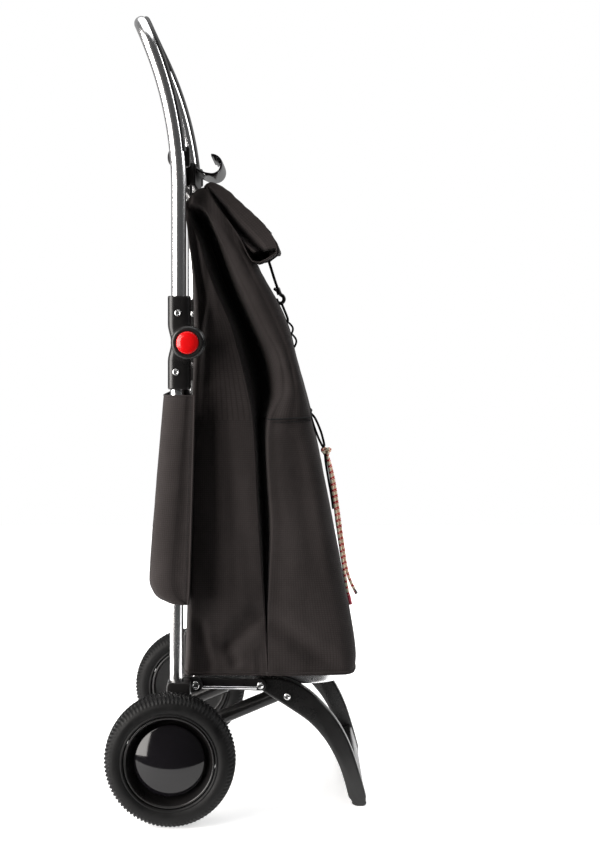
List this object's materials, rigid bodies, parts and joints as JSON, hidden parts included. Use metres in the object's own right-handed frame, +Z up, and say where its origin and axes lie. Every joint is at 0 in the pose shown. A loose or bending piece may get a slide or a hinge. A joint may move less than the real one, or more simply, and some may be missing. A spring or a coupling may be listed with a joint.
{
  "type": "shopping trolley",
  "caption": "Folding two-wheel shopping trolley with a tall roll-top fabric bag, a leaning bow handle with fold joints, and a fold-up base with a front stand.",
  "frame": {"origin": "on the floor, under the middle of the trolley", "axes": "+X forward, the side the bag hangs on; +Y to the left; +Z up along the tubes"},
  "size_m": [0.3344, 0.414, 1.0334],
  "materials": {
    "aluminium": "polished, clear anodised",
    "black_plastic": "satin moulded",
    "gloss_black": "high gloss",
    "red_plastic": "satin gloss",
    "grip_rubber": "matt",
    "tyre_rubber": "matt, ribbed shoulder",
    "nylon": "natural",
    "zinc_steel": "zinc plated",
    "bag_fabric": "woven polyester, coated inside",
    "webbing": "woven",
    "board": "smooth",
    "puller_rope": "braided, red and cream"
  },
  "bodies": {
    "chassis": {"lower_tube_right": "aluminium", "lower_tube_left": "aluminium", "axle_bracket_right": "black_plastic", "axle_bracket_left": "black_plastic", "axle": "zinc_steel", "fold_joint_lower_right": "black_plastic", "fold_joint_lower_left": "black_plastic", "joint_rivet_lower_right": "zinc_steel", "joint_rivet_lower_left": "zinc_steel", "hinge_pin_right": "zinc_steel", "hinge_pin_left": "zinc_steel", "bag_body": "bag_fabric", "rear_pocket": "bag_fabric", "front_pocket": "bag_fabric", "webbing_ladder": "webbing", "zip_tab": "webbing", "puller_knot": "puller_rope", "puller_strand_long": "puller_rope", "puller_strand_short": "puller_rope", "puller_tip": "zinc_steel"},
    "handle": {"handle_tube": "aluminium", "grip_strip": "grip_rubber", "bridge": "black_plastic", "trolley_hook": "black_plastic", "bag_hanger_right": "webbing", "bag_hanger_left": "webbing", "fold_joint_upper_right": "black_plastic", "fold_joint_upper_left": "black_plastic", "joint_rivet_upper_right": "zinc_steel", "joint_rivet_upper_left": "zinc_steel", "button_spring_right": "zinc_steel", "button_spring_left": "zinc_steel"},
    "button_right": {"button_right": "red_plastic"},
    "button_left": {"button_left": "red_plastic"},
    "base_frame": {"base_bar_right": "black_plastic", "base_bar_left": "black_plastic", "base_hoop": "aluminium", "pivot_rivet_a_right": "zinc_steel", "pivot_rivet_a_left": "zinc_steel", "pivot_rivet_b_right": "zinc_steel", "pivot_rivet_b_left": "zinc_steel", "base_board": "board"},
    "leg_frame": {"leg_right": "black_plastic", "leg_left": "black_plastic", "foot_bar": "black_plastic", "pivot_rivet_c_right": "zinc_steel", "pivot_rivet_c_left": "zinc_steel"},
    "brace_frame": {"brace_right": "black_plastic", "brace_left": "black_plastic"},
    "wheel_right": {"tyre_right": "tyre_rubber", "rim_right": "black_plastic", "hub_cap_right": "gloss_black", "wheel_bush_right": "nylon"},
    "wheel_left": {"tyre_left": "tyre_rubber", "rim_left": "black_plastic", "hub_cap_left": "gloss_black", "wheel_bush_left": "nylon"},
    "roll_top": {"roll_top": "bag_fabric", "elastic_cord": "webbing", "cord_hook": "black_plastic"}
  },
  "joints": [
    {"name": "handle_fold", "type": "hinge", "parent": "chassis", "child": "handle", "pos_m": [-0.0662, 0, 0.6041], "axis": [0, 1, 0], "range_deg": [0, 95], "deforming": ["bag_body", "webbing_ladder"]},
    {"name": "button_press_right", "type": "slide", "parent": "handle", "child": "button_right", "axis": [0, 1, 0], "range_m": [0, 0.0045], "stiffness_N_per_m": 400, "springref_m": -0.004, "deforming": ["button_spring_right"]},
    {"name": "button_press_left", "type": "slide", "parent": "handle", "child": "button_left", "axis": [0, -1, 0], "range_m": [0, 0.0045], "stiffness_N_per_m": 400, "springref_m": -0.004, "deforming": ["button_spring_left"]},
    {"name": "roll_top_lift", "type": "hinge", "parent": "handle", "child": "roll_top", "pos_m": [-0.0455, 0, 0.8065], "axis": [0, -1, 0], "range_deg": [0, 75]},
    {"name": "base_fold", "type": "hinge", "parent": "chassis", "child": "base_frame", "pos_m": [-0.058, 0, 0.162], "axis": [0, -1, 0], "range_deg": [0, 80], "deforming": ["front_pocket"]},
    {"name": "leg_fold", "type": "hinge", "parent": "base_frame", "child": "leg_frame", "pos_m": [0.0258, 0, 0.1594], "axis": [0, -1, 0], "range_deg": [-102, 0]},
    {"name": "brace_swing", "type": "hinge", "parent": "chassis", "child": "brace_frame", "pos_m": [-0.0864, 0, 0.0825], "axis": [0, -1, 0], "range_deg": [0, 39]},
    {"name": "wheel_spin_right", "type": "hinge", "parent": "chassis", "child": "wheel_right", "pos_m": [-0.0864, -0.185, 0.0825], "axis": [0, 1, 0], "continuous": true},
    {"name": "wheel_spin_left", "type": "hinge", "parent": "chassis", "child": "wheel_left", "pos_m": [-0.0864, 0.185, 0.0825], "axis": [0, 1, 0], "continuous": true}
  ],
  "couplings": [
    {"joint": "leg_fold", "follows": "base_fold", "ratio": -1.27},
    {"joint": "brace_swing", "follows": "base_fold", "ratio": 0.48}
  ]
}
